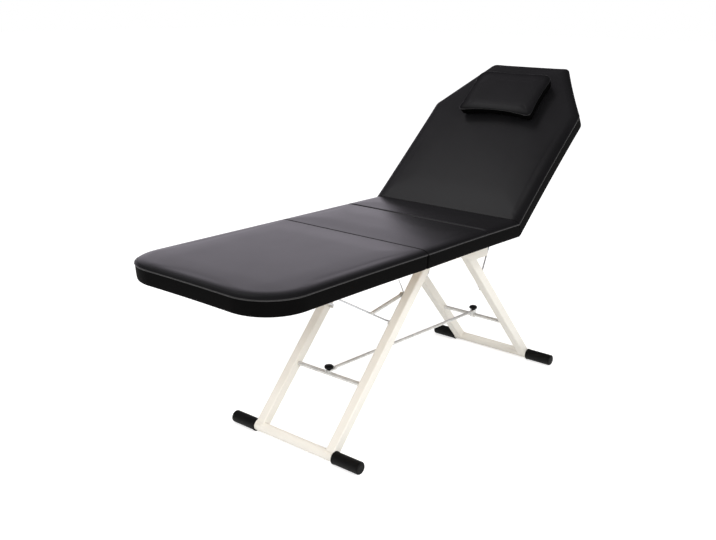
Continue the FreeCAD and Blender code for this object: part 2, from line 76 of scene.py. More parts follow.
# Bench pads
PIPING_HEIGHT = 44.5 * MM
PIPING_RADIUS = 2.1 * MM
PIPING_SINK = 0.6 * MM
CROWN_REACH = 40 * MM
# Reach of the painted shade that turns the leather's reflection down near the welt
EDGE_SHADE_REACH = 34 * MM
CROWN_FLATNESS = 2.6
CROWN_SHOULDER = 1.6
BAND_TUCK = 3.5 * MM
SEAM_ROUND = 4 * MM
CREASE_ROUND = 0.4 * MM
SEAM_CORNER = 6 * MM
FOOT_CORNER = 130 * MM
SHOULDER_CORNER = 32 * MM
HEAD_CORNER = 26 * MM
BACK_SHOULDER = 499 * MM
BACK_HEAD_WIDTH = 313 * MM
SIDE_DRAW = 2.5 * MM
WRAP_WIDTH = 36 * MM
WRAP_THICKNESS = 1.2 * MM
WRAP_INSIDE = 3 * MM
BOTTOM_ROUND = 3 * MM
CHANNEL_DEPTH = 6 * MM
CHANNEL_WIDTH = 3.8 * MM
CHANNEL_FADE = 22 * MM
CHANNEL_REACH = 14 * MM
SWELL = 2 * MM
SWELL_REACH = 120 * MM
CREASE_GAP = 0.15 * MM
CREASE_LEAN_REACH = 80 * MM
CREASE_BLEND = 45 * MM

# Head pillow
PILLOW_BAND = 36 * MM
PILLOW_REACH = 42 * MM
PILLOW_CORNER = 16 * MM
PILLOW_UPPER_CORNER = 32 * MM
PILLOW_DRAW = 5 * MM
PILLOW_FRONT_DRAW = 14 * MM
PILLOW_TUCK = 4 * MM
PILLOW_UNDER = 10 * MM
PILLOW_SWELL = 2 * MM
PILLOW_SWELL_REACH = 60 * MM
PILLOW_PIPING = 1.6 * MM

# Mesh fineness
CORNER_STEPS = 8
CROWN_STEPS = 8
BAND_STEPS = 5
COARSE_STEP = 13 * MM
FINE_STEP = 2.5 * MM
LEAST_CORNER = 0.6 * MM
CLOTH_FRAMES = 20
CLOTH_PRESSURE = 4.0
CLOTH_TENSION = 25.0
CLOTH_BENDING = 2.0
SHARP_ANGLE = math.radians(40)

# Steel frame
TUBE_CORNER = 4 * MM
TUBE_WALL = 1.5 * MM
LEG_OVERRUN = 12 * MM
PLUG_THICKNESS = 2 * MM
WELD_RADIUS = 1.7 * MM
WELD_RIPPLE = 0.25 * MM
WELD_STEPS = 6
SLEEVE_EDGE = 4.5 * MM
SLEEVE_LIP = 0.9 * MM
SLEEVE_LIP_WIDTH = 5 * MM
SLEEVE_DISC = 12 * MM
SLEEVE_DISC_STEP = 0.7 * MM
KNOB_FLUTES = 9
KNOB_FLUTE_DEPTH = 1.1 * MM
KNOB_BOLT_RADIUS = 3 * MM
KNOB_HEAD = 17 * MM
KNOB_PROFILE = ((0.4, 0), (0.4, 0.22), (0.5, 0.29), (0.96, 0.34), (1, 0.4), (1, 0.62), (0.96, 0.74),
                (0.84, 0.86), (0.6, 0.95), (0.3, 0.99), (0.06, 1))
HINGE_LENGTH = 60 * MM
LEAF_THICKNESS = 3 * MM
LEAF_SCREW_FROM_PIN = 22 * MM
LEAF_SCREW_SPACING = 20 * MM
SCREW_RADIUS = 3.6 * MM
SCREW_HEIGHT = 1.7 * MM
RAIL_SCREW_SHARES = (-0.85, -0.28, 0.28, 0.85)
STAPLE_SPACING = 40 * MM
STAPLE_WIDTH = 10 * MM
STAPLE_WIRE = 0.6 * MM
STAPLE_FROM_EDGE = 9 * MM
STAPLE_SKEW = 0.12

# Places read from the frame
hinge_at = {name: Vector(joint["pos_m"]) for name, joint in joints.items() if "pos_m" in joint}
LEGREST_HINGE = hinge_at["legrest_tilt"]
BACK_HINGE = hinge_at["back_recline"]
BACK_ANGLE = math.radians(joints["back_recline"]["range_deg"][1])
RAISE = (Matrix.Translation(BACK_HINGE) @ Matrix.Rotation(-BACK_ANGLE, 4, "Y")
         @ Matrix.Translation(-BACK_HINGE))


def flat_box(node):
    """Lowest and highest corner of a node of the back, with the back turned down flat."""
    lower = np.array(RAISE.inverted())
    points = np.array([v.co for v in nodes[node].data.vertices])
    turned = points @ lower[:3, :3].T + lower[:3, 3]
    return Vector(turned.min(0)), Vector(turned.max(0))


legrest_low, legrest_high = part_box("legrest_pad")
seat_low, seat_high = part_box("seat_pad")
lumbar_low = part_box("lumbar_pad")[0]
back_high = flat_box("back_pad")[1]
pillow_low, pillow_high = flat_box("head_pillow")
PAD_BOTTOM = legrest_low.z
PAD_HEIGHT = legrest_high.z - legrest_low.z
HALF_WIDTH = legrest_high.y
CROWN = PAD_HEIGHT - PIPING_HEIGHT
TOP_ABOVE_HINGE = PAD_BOTTOM + PAD_HEIGHT - BACK_HINGE.z
CREASE_SET_BACK = TOP_ABOVE_HINGE * math.tan(BACK_ANGLE / 2)
FLAT = Matrix.Translation((0, 0, PAD_BOTTOM))
BACK_PLACE = RAISE @ FLAT


# Materials

def material(name, **sockets):
    """New material with a Principled shader; keyword arguments set that shader's own sockets."""
    made = bpy.data.materials.new(name)
    made.use_nodes = True
    shader = made.node_tree.nodes["Principled BSDF"]
    for socket, value in sockets.items():
        shader.inputs[socket.replace("_", " ")].default_value = value
    return made, made.node_tree, shader


def add_node(tree, kind, **settings):
    """New node; settings are input values where there is a socket of that name, and attributes otherwise."""
    node = tree.nodes.new("ShaderNode" + kind)
    for name, value in settings.items():
        socket = name.replace("_", " ")
        if socket in node.inputs:
            node.inputs[socket].default_value = value
        else:
            setattr(node, name, value)
    return node


def object_place(tree, stretch=(1, 1, 1)):
    """Object coordinates, stretched along the axes."""
    place = add_node(tree, "TexCoord")
    mapping = add_node(tree, "Mapping", Scale=stretch)
    tree.links.new(place.outputs["Object"], mapping.inputs["Vector"])
    return mapping.outputs["Vector"]


def noise_value(tree, place, scale, detail=3.0, roughness=0.55):
    """Noise between 0 and 1 at a scale given in features per metre."""
    node = add_node(tree, "TexNoise", Scale=scale, Detail=detail, Roughness=roughness)
    tree.links.new(place, node.inputs["Vector"])
    return node.outputs["Fac"]


def between(tree, value, low, high, source=(0.0, 1.0)):
    """Value mapped from its source range to the range from low to high."""
    node = add_node(tree, "MapRange", From_Min=source[0], From_Max=source[1], To_Min=low, To_Max=high)
    tree.links.new(value, node.inputs["Value"])
    return node.outputs["Result"]


def colour_between(tree, value, low, high):
    """Colour that runs from low to high as a value goes from 0.3 to 0.7."""
    node = add_node(tree, "ValToRGB")
    ramp = node.color_ramp.elements
    ramp[0].position, ramp[1].position = 0.3, 0.7
    ramp[0].color, ramp[1].color = (*low, 1), (*high, 1)
    tree.links.new(value, node.inputs["Fac"])
    return node.outputs["Color"]


def bump(tree, shader, heights, distance):
    """Bump from (height output, strength) pairs, chained one after another."""
    normal = None
    for height, strength in heights:
        node = add_node(tree, "Bump", Strength=strength, Distance=distance)
        tree.links.new(height, node.inputs["Height"])
        if normal is not None:
            tree.links.new(normal, node.inputs["Normal"])
        normal = node.outputs["Normal"]
    tree.links.new(normal, shader.inputs["Normal"])


def leather(name, colour, roughness, specular, shaded_edge_specular=None):
    """Black upholstery leather: pebbled grain, pores, faint creases and a slightly uneven sheen.

    The last argument is the lowered reflection level near the rolled edges of a pad, read from an edge mask: painted
    shade that darkens the shoulders.
    """
    made, tree, shader = material(name, Specular_IOR_Level=specular)
    place = object_place(tree)
    cells = add_node(tree, "TexVoronoi", feature="SMOOTH_F1", Scale=720.0, Smoothness=0.6)
    tree.links.new(place, cells.inputs["Vector"])
    pores = noise_value(tree, place, 1500.0, 2.0)
    creases = noise_value(tree, place, 60.0, 4.0, 0.6)
    sheen = noise_value(tree, place, 9.0, 3.0)
    tint = tuple(1.25 * channel for channel in colour)
    tree.links.new(colour_between(tree, sheen, colour, tint), shader.inputs["Base Color"])
    tree.links.new(between(tree, sheen, roughness - 0.012, roughness + 0.012, (0.3, 0.7)),
                   shader.inputs["Roughness"])
    # Painted shade: the reflection level falls near the pad's edges, following the edge mask
    if shaded_edge_specular is not None:
        edge_shade = add_node(tree, "Attribute", attribute_name="painted_edge_shade").outputs["Fac"]
        tree.links.new(between(tree, edge_shade, specular, shaded_edge_specular, (0.1, 0.8)),
                       shader.inputs["Specular IOR Level"])
    bump(tree, shader, [(cells.outputs["Distance"], 0.09), (pores, 0.05), (creases, 0.006)], 0.4 * MM)
    return made


def powder_coat():
    """Warm cream powder coat with orange peel."""
    made, tree, shader = material("cream_powder_coat", Specular_IOR_Level=0.45)
    place = object_place(tree)
    peel = noise_value(tree, place, 420.0, 2.0)
    cloud = noise_value(tree, place, 6.0, 3.0)
    tree.links.new(colour_between(tree, cloud, (0.86, 0.825, 0.75), (0.90, 0.87, 0.80)),
                   shader.inputs["Base Color"])
    tree.links.new(between(tree, peel, 0.30, 0.44), shader.inputs["Roughness"])
    bump(tree, shader, [(peel, 0.12)], 0.3 * MM)
    return made


def plated(name, colour, roughness, metallic):
    """Plated steel: fine scratches and blotches in the gloss, and a share of milky scatter."""
    made, tree, shader = material(name, Metallic=metallic)
    place = object_place(tree)
    scratches = noise_value(tree, place, 900.0, 3.0)
    blotches = noise_value(tree, place, 60.0, 3.0)
    tint = tuple(0.82 * channel for channel in colour)
    tree.links.new(colour_between(tree, blotches, tint, colour), shader.inputs["Base Color"])
    tree.links.new(between(tree, scratches, roughness - 0.06, roughness + 0.1), shader.inputs["Roughness"])
    bump(tree, shader, [(scratches, 0.06)], 0.2 * MM)
    return made


def moulded(name, colour, roughness, grain):
    """Moulded rubber or plastic with a fine texture and paler scuffs."""
    made, tree, shader = material(name, Specular_IOR_Level=0.15)
    place = object_place(tree)
    texture = noise_value(tree, place, grain, 2.0)
    scuffs = noise_value(tree, place, 40.0, 5.0, 0.7)
    tint = tuple(2.0 * channel for channel in colour)
    tree.links.new(colour_between(tree, scuffs, colour, tint), shader.inputs["Base Color"])
    tree.links.new(between(tree, scuffs, roughness - 0.08, roughness + 0.1), shader.inputs["Roughness"])
    bump(tree, shader, [(texture, 0.2)], 0.3 * MM)
    return made


def plywood():
    """Raw plywood face: long grain along the bed, with darker growth bands."""
    made, tree, shader = material("birch_plywood", Specular_IOR_Level=0.3)
    place = object_place(tree, (0.06, 1, 1))
    grain = noise_value(tree, place, 160.0, 6.0, 0.65)
    bands = noise_value(tree, place, 22.0, 3.0)
    pale = colour_between(tree, bands, (0.50, 0.34, 0.19), (0.64, 0.47, 0.29))
    streaks = colour_between(tree, grain, (0.72, 0.68, 0.62), (1.0, 1.0, 1.0))
    mixed = add_node(tree, "Mix", data_type="RGBA", blend_type="MULTIPLY")
    mixed.inputs["Factor"].default_value = 1.0
    tree.links.new(pale, mixed.inputs[6])
    tree.links.new(streaks, mixed.inputs[7])
    tree.links.new(mixed.outputs[2], shader.inputs["Base Color"])
    tree.links.new(between(tree, grain, 0.55, 0.8), shader.inputs["Roughness"])
    bump(tree, shader, [(grain, 0.15)], 0.4 * MM)
    return made


# The top leather's last number is its reflection level at the edges, painted shade for dark shoulders
LEATHER = leather("black_leather_top", (0.0070, 0.0068, 0.0074), 0.29, 0.66, 0.03)
# Painted shade: side band and wrap get a darker copy of the same leather with almost no reflection
SHADED_BAND_LEATHER = leather("black_leather_band_painted_shade", (0.0024, 0.0023, 0.0023), 0.55, 0.012)
# Painted highlight: the piping leather is paler than the cover so the welt shows as a light line
HIGHLIT_PIPING_LEATHER = leather("black_leather_piping_painted_highlight", (0.027, 0.026, 0.026), 0.42, 0.25)
PAINT = powder_coat()
ZINC = plated("zinc_plate", (0.80, 0.795, 0.77), 0.42, 0.45)
CHROME = plated("bright_wire", (0.66, 0.67, 0.69), 0.3, 0.75)
RUBBER = moulded("foot_rubber", (0.003, 0.003, 0.003), 0.6, 1100.0)
PLASTIC = moulded("knob_plastic", (0.0025, 0.0025, 0.0025), 0.42, 1600.0)
PLYWOOD = plywood()
SLOT_MATERIALS = {"black_leather": LEATHER, "plywood": PLYWOOD, "cream_paint": PAINT, "zinc_steel": ZINC,
                  "chrome_wire": CHROME, "black_rubber": RUBBER, "black_plastic": PLASTIC}
slot_of = {part["node"]: part["material_slot"] for part in frame["record"]["subparts"]}
for name, node in nodes.items():
    node.data.materials.clear()
    node.data.materials.append(SLOT_MATERIALS[slot_of[name]])


# Meshes are made from shells: an array of points and a list of faces

def merged(shells):
    """One shell from several."""
    points, faces, count = [], [], 0
    for shell_points, shell_faces in shells:
        points.append(shell_points)
        faces.extend(tuple(count + i for i in face) for face in shell_faces)
        count += len(shell_points)
    return np.vstack(points), faces


def moved(shell, place):
    """Shell moved by a matrix."""
    matrix = np.array(place)
    points, faces = shell
    return points @ matrix[:3, :3].T + matrix[:3, 3], faces


def mesh_from(name, shell):
    """Smooth-shaded mesh of a shell, with its normals turned outwards."""
    points, faces = shell
    mesh = bpy.data.meshes.new(name)
    mesh.from_pydata(points.tolist(), [], faces)
    work = bmesh.new()
    work.from_mesh(mesh)
    bmesh.ops.recalc_face_normals(work, faces=work.faces)
    work.to_mesh(mesh)
    work.free()
    mesh.shade_smooth()
    return mesh


def new_object(name, mesh, *materials):
    """Object for a finished mesh, linked to the scene, with its materials."""
    for used in materials:
        mesh.materials.append(used)
    made = bpy.data.objects.new(name, mesh)
    bpy.context.scene.collection.objects.link(made)
    return made


def hard_piece(name, shells, slot, body, replaced=()):
    """Rigid piece from shells: sharp where its faces turn by much, riding on a body."""
    mesh = mesh_from(name, merged(shells))
    mesh.set_sharp_from_angle(angle=SHARP_ANGLE)
    piece = new_object(name, mesh, SLOT_MATERIALS[slot])
    piece.modifiers.new("flat_faces", "WEIGHTED_NORMAL").keep_sharp = True
    if replaced:
        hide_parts(*replaced)
    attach(piece, body)


def loft(rings, capped=True):
    """Shell through rings of equally many points; the first and last ring are capped."""
    count = len(rings[0])
    faces = []
    for k in range(len(rings) - 1):
        for i in range(count):
            following = (i + 1) % count
            faces.append((k * count + i, k * count + following, (k + 1) * count + following, (k + 1) * count + i))
    if capped:
        last = (len(rings) - 1) * count
        faces.append(tuple(range(count))[::-1])
        faces.append(tuple(range(last, last + count)))
    return np.vstack(rings), faces


def looped(rings):
    """Shell through rings that close on themselves."""
    points, faces = loft(rings + rings[:1], capped=False)
    count = len(rings[0]) * len(rings)
    return points[:count], [tuple(i % count for i in face) for face in faces]


def lathe(profile, steps=48):
    """Shell turned round +Z from (radius, height) points."""
    turns = np.linspace(0, 2 * math.pi, steps, endpoint=False)
    circle = np.stack([np.cos(turns), np.sin(turns)], axis=1)
    rings = [np.column_stack([circle * radius, np.full(steps, height)]) for radius, height in profile]
    return loft(rings)


def sweep(points, radius, sides=10, closed=False, ripple=0.0):
    """Round shell along a row of points, carried along without twisting; ripple swells every other ring.

    No point may come twice in a row: it has no direction, and breaks every ring after it.
    """
    points = np.asarray(points, float)
    ahead = np.roll(points, -1, axis=0) - points
    behind = points - np.roll(points, 1, axis=0)
    if not closed:
        ahead[-1], behind[0] = behind[-1], ahead[0]
    ways = ahead / np.linalg.norm(ahead, axis=1)[:, None] + behind / np.linalg.norm(behind, axis=1)[:, None]
    ways /= np.linalg.norm(ways, axis=1)[:, None]
    side = np.cross(ways[0], (0, 0, 1))
    if np.linalg.norm(side) < 0.1:
        side = np.cross(ways[0], (1, 0, 0))
    turns = np.linspace(0, 2 * math.pi, sides, endpoint=False)
    rings = []
    for k, (point, way) in enumerate(zip(points, ways)):
        side = side - way * (side @ way)
        side /= np.linalg.norm(side)
        up = np.cross(way, side)
        swell = radius + ripple * (k % 2)
        rings.append(point + swell * (np.cos(turns)[:, None] * side + np.sin(turns)[:, None] * up))
    return looped(rings) if closed else loft(rings)


def rounded_square(size, radius, steps=4):
    """Points round a square with rounded corners."""
    middle = size / 2 - radius
    points = []
    for quarter in range(4):
        turn = math.pi / 2 * quarter
        corner = math.sqrt(2) * middle * np.array([math.cos(turn + math.pi / 4), math.sin(turn + math.pi / 4)])
        angles = turn + np.linspace(0, math.pi / 2, steps + 1)
        points.extend(corner + radius * np.stack([np.cos(angles), np.sin(angles)], axis=1))
    return np.array(points)


def square_tube(length, size):
    """Square tube with rounded corners and open ends, along +Z from the origin."""
    outer = rounded_square(size, TUBE_CORNER)
    inner = rounded_square(size - 2 * TUBE_WALL, TUBE_CORNER - TUBE_WALL)
    rings = [np.column_stack([ring, np.full(len(ring), height)])
             for ring, height in ((outer, 0), (outer, length), (inner, length), (inner, 0))]
    return looped(rings)


def along(start, end):
    """Matrix that takes +Z to the way from start to end, and +X to the bed's +Y unless that is the way itself."""
    way = (Vector(end) - Vector(start)).normalized()
    side = AXIS_Y if abs(way.dot(AXIS_Y)) < 0.9 else AXIS_Z
    turn = Matrix((side, way.cross(side), way)).transposed().to_4x4()
    return Matrix.Translation(Vector(start)) @ turn


# Cushions

def spread(length, dense=()):
    """Shares along a side, a coarse step apart, and a fine one near each dense (place, reach)."""
    place, marks = 0.0, []
    while place < length - FINE_STEP:
        near = any(abs(place - spot) < reach for spot, reach in dense)
        place += FINE_STEP if near else COARSE_STEP
        marks.append(place)
    return [mark / place for mark in marks[:-1]]


def reverse(shares):
    """The same shares counted from the other end of a side."""
    return [1 - share for share in shares[::-1]]


def side_frames(corners):
    """Corner points, directions along the sides and inward normals of a counter-clockwise outline."""
    points = np.array([corner[:2] for corner in corners])
    ways = np.roll(points, -1, axis=0) - points
    ways /= np.linalg.norm(ways, axis=1)[:, None]
    return points, ways, np.stack([-ways[:, 1], ways[:, 0]], axis=1)


def corner_arc(corners, i, insets):
    """Points of a rounded corner after each side has moved inwards by its own inset."""
    points, ways, normals = side_frames(corners)
    before, after = normals[i - 1], normals[i]
    crossing = points[i] + np.linalg.solve(np.array([before, after]), np.array([insets[i - 1], insets[i]]))
    radius = max(corners[i][2] - min(insets[i - 1], insets[i]), LEAST_CORNER)
    turn = math.acos(np.clip(before @ after, -1, 1))
    centre = crossing - ways[i - 1] * radius * math.tan(turn / 2) + before * radius
    start = math.atan2(-before[1], -before[0])
    angles = start + np.linspace(0, turn, CORNER_STEPS + 1)
    return centre + radius * np.stack([np.cos(angles), np.sin(angles)], axis=1)


def outline_ring(corners, insets, cuts, draws):
    """Closed ring of points round an outline; sides are cut at given shares and drawn in at the middle."""
    normals = side_frames(corners)[2]
    count = len(corners)
    arcs = [corner_arc(corners, i, insets) for i in range(count)]
    ring = []
    for i in range(count):
        ring.extend(arcs[i])
        first, last = arcs[i][-1], arcs[(i + 1) % count][0]
        for share in cuts[i]:
            ring.append(first + (last - first) * share + normals[i] * draws[i] * 4 * share * (1 - share))
    return np.array(ring)


def edge_distance(xy, corners, seams):
    """Distance from points inside an outline to its nearest side, leaving out the seam sides."""
    points, ways, normals = side_frames(corners)
    outer = [i for i in range(len(corners)) if i not in seams]
    distance = np.min([(xy - points[i]) @ normals[i] for i in outer], axis=0)
    for i in outer:
        if (i - 1) % len(corners) in seams:
            continue
        radius = corners[i][2]
        turn = math.acos(np.clip(normals[i - 1] @ normals[i], -1, 1))
        centre = points[i] - ways[i - 1] * radius * math.tan(turn / 2) + normals[i - 1] * radius
        beside = ((xy - centre) @ ways[i - 1] > 0) & ((xy - centre) @ ways[i] < 0)
        distance = np.where(beside, radius - np.linalg.norm(xy - centre, axis=1), distance)
    return np.maximum(distance, 0)


def shoulder(distance, reach):
    """Share of the crown's height at a distance from the welt: steep there, and flat without a break inside."""
    left = 1 - np.clip(distance / reach, 0, 1)
    return (1 - left ** CROWN_FLATNESS) ** (1 / CROWN_SHOULDER)


def quarter_round(distance, radius):
    """Share of a quarter circle's height at a distance from its edge."""
    return np.sin(np.arccos(1 - np.clip(distance / radius, 0, 1)))


class Cushion:
    """Crowned closed pad: leather wrapped under its board, a side band, a welt line and a crowned top.

    It is built lying flat with its board at height 0. Seams maps the number of each side that stands upright
    against a neighbour to the radius of its edge; the other sides have the crown's shoulder. Lean is the place
    of an end wall and the slope by which it leans; channel is the place of a sewn groove across the top.
    """

    def __init__(self, name, corners, patch, seams, cuts, band, crown, reach, draws, lean=None, channel=None,
                 tuck=BAND_TUCK, under=BOTTOM_ROUND):
        self.name = name
        self.corners = corners
        self.patch = patch
        self.seams = seams
        self.cuts = cuts
        self.band = band
        self.crown = crown
        self.reach = reach
        self.draws = [0 if i in seams else draw for i, draw in enumerate(draws)]
        self.lean = lean
        self.channel = channel
        self.tuck = tuck
        self.under = under
        self.points = np.zeros((0, 3))
        self.faces = []

    def ring(self, outer_inset, seam_share=0.0, seam_inset=0.0):
        """Ring of the outline; outer sides move in by their inset, seam sides by theirs or a share of their edge."""
        insets = [seam_inset + seam_share * self.seams[i] if i in self.seams else outer_inset
                  for i in range(len(self.corners))]
        return outline_ring(self.corners, insets, self.cuts, self.draws)

    def top(self, xy):
        """Height of the top surface at points of the plan."""
        distance = edge_distance(xy, self.corners, self.seams)
        crown = self.crown * shoulder(distance, self.reach)
        height = self.band + crown
        points, ways, normals = side_frames(self.corners)
        for i, radius in self.seams.items():
            inside = np.maximum((xy - points[i]) @ normals[i], 0)
            height -= np.minimum(radius, crown) * (1 - quarter_round(inside, radius))
        if self.channel is not None:
            groove = np.exp(-((xy[:, 0] - self.channel) / CHANNEL_WIDTH) ** 2)
            height -= CHANNEL_DEPTH * groove * np.clip(distance / CHANNEL_FADE, 0, 1)
        return height

    def settle(self, points):
        """Points with the end wall leaned over."""
        if self.lean is None:
            return points
        end, slope = self.lean
        beside = np.clip(1 - np.abs(points[:, 0] - end) / CREASE_LEAN_REACH, 0, 1)
        shift = slope * (self.band + self.crown - points[:, 2]) * beside
        return points + np.column_stack([shift, np.zeros((len(points), 2))])

    def add(self, xy, heights):
        """Adds a row of points and returns their numbers."""
        first = len(self.points)
        heights = np.broadcast_to(heights, len(xy))
        self.points = np.vstack([self.points, np.column_stack([xy, heights])])
        return list(range(first, len(self.points)))

    def next_ring(self, previous, xy, heights):
        """Adds a ring and joins it to the one before."""
        ring = self.add(xy, heights)
        count = len(ring)
        for i in range(count):
            following = (i + 1) % count
            self.faces.append((previous[i], previous[following], ring[following], ring[i]))
        return ring

    def arc_middle(self, i):
        """Number, within a ring, of the point in the middle of a corner."""
        return sum(CORNER_STEPS + 1 + len(self.cuts[k]) for k in range(i)) + CORNER_STEPS // 2

    def run(self, ring, first, last):
        """Part of a ring from the middle of one corner to the middle of another."""
        start, end = self.arc_middle(first), self.arc_middle(last)
        if end <= start:
            end += len(ring)
        return [ring[k % len(ring)] for k in range(start, end + 1)]

    def fill(self, ring, heights):
        """Closes a ring with a grid of points spread between its four patch sides; heights is called on them."""
        a, b, c, d = self.patch
        bottom, right = self.run(ring, a, b), self.run(ring, b, c)
        top, left = self.run(ring, c, d)[::-1], self.run(ring, d, a)[::-1]
        columns, rows = len(bottom), len(right)
        grid = [bottom] + [[left[j]] + [None] * (columns - 2) + [right[j]] for j in range(1, rows - 1)] + [top]
        plan = self.points[:, :2]
        u = np.linspace(0, 1, columns)[1:-1, None]
        for j in range(1, rows - 1):
            v = j / (rows - 1)
            across = (1 - u) * plan[left[j]] + u * plan[right[j]]
            lengthwise = (1 - v) * plan[bottom[1:-1]] + v * plan[top[1:-1]]
            ends = ((1 - v) * ((1 - u) * plan[bottom[0]] + u * plan[bottom[-1]])
                    + v * ((1 - u) * plan[top[0]] + u * plan[top[-1]]))
            xy = across + lengthwise - ends
            grid[j][1:-1] = self.add(xy, heights(xy))
        for lower, upper in zip(grid, grid[1:]):
            for i in range(columns - 1):
                self.faces.append((lower[i], lower[i + 1], upper[i + 1], upper[i]))

    def build(self, swell, swell_reach):
        """Object of the cushion, its top swollen by cloth pressure between the welt and the seams."""
        ring = self.add(self.ring(WRAP_WIDTH, seam_inset=WRAP_WIDTH), WRAP_INSIDE)
        self.fill(ring, lambda xy: WRAP_INSIDE)
        for inset in (WRAP_WIDTH, WRAP_WIDTH / 2, self.tuck + self.under):
            seam_inset = max(inset - self.tuck, self.under)
            ring = self.next_ring(ring, self.ring(inset, seam_inset=seam_inset), -WRAP_THICKNESS)
        welt = self.top(self.ring(0))
        low = self.under - WRAP_THICKNESS
        for step in range(BAND_STEPS + 1):
            share = step / BAND_STEPS
            ring = self.next_ring(ring, self.ring(self.tuck * (1 - share) ** 1.5), low + (welt - low) * share)
        top_start = len(self.points)
        for step in range(1, CROWN_STEPS + 1):
            over = 1 - math.cos(math.pi / 2 * step / CROWN_STEPS)
            xy = self.ring(self.reach * over, over)
            ring = self.next_ring(ring, xy, self.top(xy))
        self.fill(ring, self.top)
        points = self.settle(self.points)
        mesh = mesh_from(self.name, (points, self.faces))
        piece = new_object(self.name, mesh, LEATHER, SHADED_BAND_LEATHER)
        # Top faces take the top leather; band and wrap faces take the darker painted-shade copy
        for face in mesh.polygons:
            face.material_index = 0 if max(face.vertices) >= top_start else 1
        plan = self.points[:, :2]
        # Edge mask for the painted shade: 1 at the welt, 0 beyond its reach
        edge_shade = 1 - np.clip(edge_distance(plan, self.corners, self.seams) / EDGE_SHADE_REACH, 0, 1)
        mesh.attributes.new("painted_edge_shade", "FLOAT", "POINT").data.foreach_set("value", edge_shade.astype(np.float32))
        inside = edge_distance(plan, self.corners, {})
        if self.channel is not None:
            inside = np.minimum(inside, np.abs(plan[:, 0] - self.channel))
        rise = np.clip(inside / swell_reach, 0, 1)
        room = np.where(np.arange(len(points)) >= top_start, swell * rise ** 2 * (3 - 2 * rise), 0.0)
        inflate(piece, room)
        return piece

    def welt_line(self, first, last):
        """Points along the welt from the middle of one corner to the middle of another."""
        ring = self.ring(PIPING_SINK)
        xy = np.array(self.run(list(ring), first, last))
        return self.settle(np.column_stack([xy, np.full(len(xy), self.band)]))

    def staples(self):
        """Shells of the staples that hold the wrapped leather under the board, lying flat."""
        inset = WRAP_WIDTH - STAPLE_FROM_EDGE
        ring = self.ring(inset, seam_inset=inset)
        closed = np.vstack([ring, ring[:1]])
        gone = np.concatenate([[0], np.cumsum(np.linalg.norm(np.diff(closed, axis=0), axis=1))])
        marks = np.linspace(0, gone[-1], int(gone[-1] / STAPLE_SPACING), endpoint=False)
        shells = []
        for k, mark in enumerate(marks):
            x, y = (np.interp(mark, gone, closed[:, axis]) for axis in (0, 1))
            ahead_x, ahead_y = (np.interp(mark + STAPLE_WIDTH, gone, closed[:, axis]) for axis in (0, 1))
            turn = math.atan2(ahead_y - y, ahead_x - x) + STAPLE_SKEW * math.sin(7 * k)
            half = np.array([math.cos(turn), math.sin(turn), 0]) * STAPLE_WIDTH / 2
            middle = np.array([x, y, -WRAP_THICKNESS - STAPLE_WIRE / 3])
            down = np.array([0, 0, 2 * STAPLE_WIRE])
            shells.append(sweep([middle - half + down, middle - half, middle + half, middle + half + down],
                                STAPLE_WIRE, sides=6))
        return shells


def inflate(piece, room):
    """Swells a piece by cloth pressure; room is how far each point may move, and points with none are pinned."""
    pin = piece.vertex_groups.new(name="pin")
    pin.add([int(i) for i in np.flatnonzero(room == 0)], 1.0, "REPLACE")
    cloth = piece.modifiers.new("cloth", "CLOTH")
    cloth.settings.vertex_group_mass = "pin"
    cloth.settings.use_pressure = True
    cloth.settings.uniform_pressure_force = CLOTH_PRESSURE
    cloth.settings.effector_weights.gravity = 0.0
    cloth.settings.tension_stiffness = CLOTH_TENSION
    cloth.settings.bending_stiffness = CLOTH_BENDING
    cloth.collision_settings.use_collision = False
    cloth.point_cache.frame_start, cloth.point_cache.frame_end = 1, CLOTH_FRAMES
    scene = bpy.context.scene
    rest = np.array([v.co for v in piece.data.vertices])
    for step in range(1, CLOTH_FRAMES + 1):
        scene.frame_set(step)
    swollen = piece.evaluated_get(bpy.context.evaluated_depsgraph_get())
    moves = np.array([v.co for v in swollen.data.vertices]) - rest
    length = np.linalg.norm(moves, axis=1)
    share = np.minimum(1, room / np.maximum(length, 1e-9))
    piece.modifiers.clear()
    piece.vertex_groups.clear()
    piece.data.vertices.foreach_set("co", (rest + moves * share[:, None]).astype(np.float32).ravel())
    piece.data.update()
    scene.frame_set(1)


def finish_cushion(piece, place, replaced):
    smooth = piece.modifiers.new("smooth", "SUBSURF")
    smooth.levels = smooth.render_levels = 1
    graph = bpy.context.evaluated_depsgraph_get()
    mesh = bpy.data.meshes.new_from_object(piece.evaluated_get(graph), preserve_all_data_layers=True, depsgraph=graph)
    piece.modifiers.clear()
    piece.data = mesh
    mesh.transform(place)
    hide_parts(*replaced)


def trim(name, shells, used, place):
    """Soft or wire trim of a cushion, built lying flat and moved to its place."""
    mesh = mesh_from(name, merged(shells))
    mesh.transform(place)
    piece = new_object(name, mesh, used)
    return piece


def crease_blend(piece):
    """Bakes a piece's place into its mesh; it is not bent between the seat and the back."""
    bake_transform(piece)


def rectangle(x_from, x_to, half, radius_from, radius_to):
    """Corners of a rectangle, counter-clockwise, with a radius for each end."""
    return [(x_from, -half, radius_from), (x_to, -half, radius_to),
            (x_to, half, radius_to), (x_from, half, radius_from)]


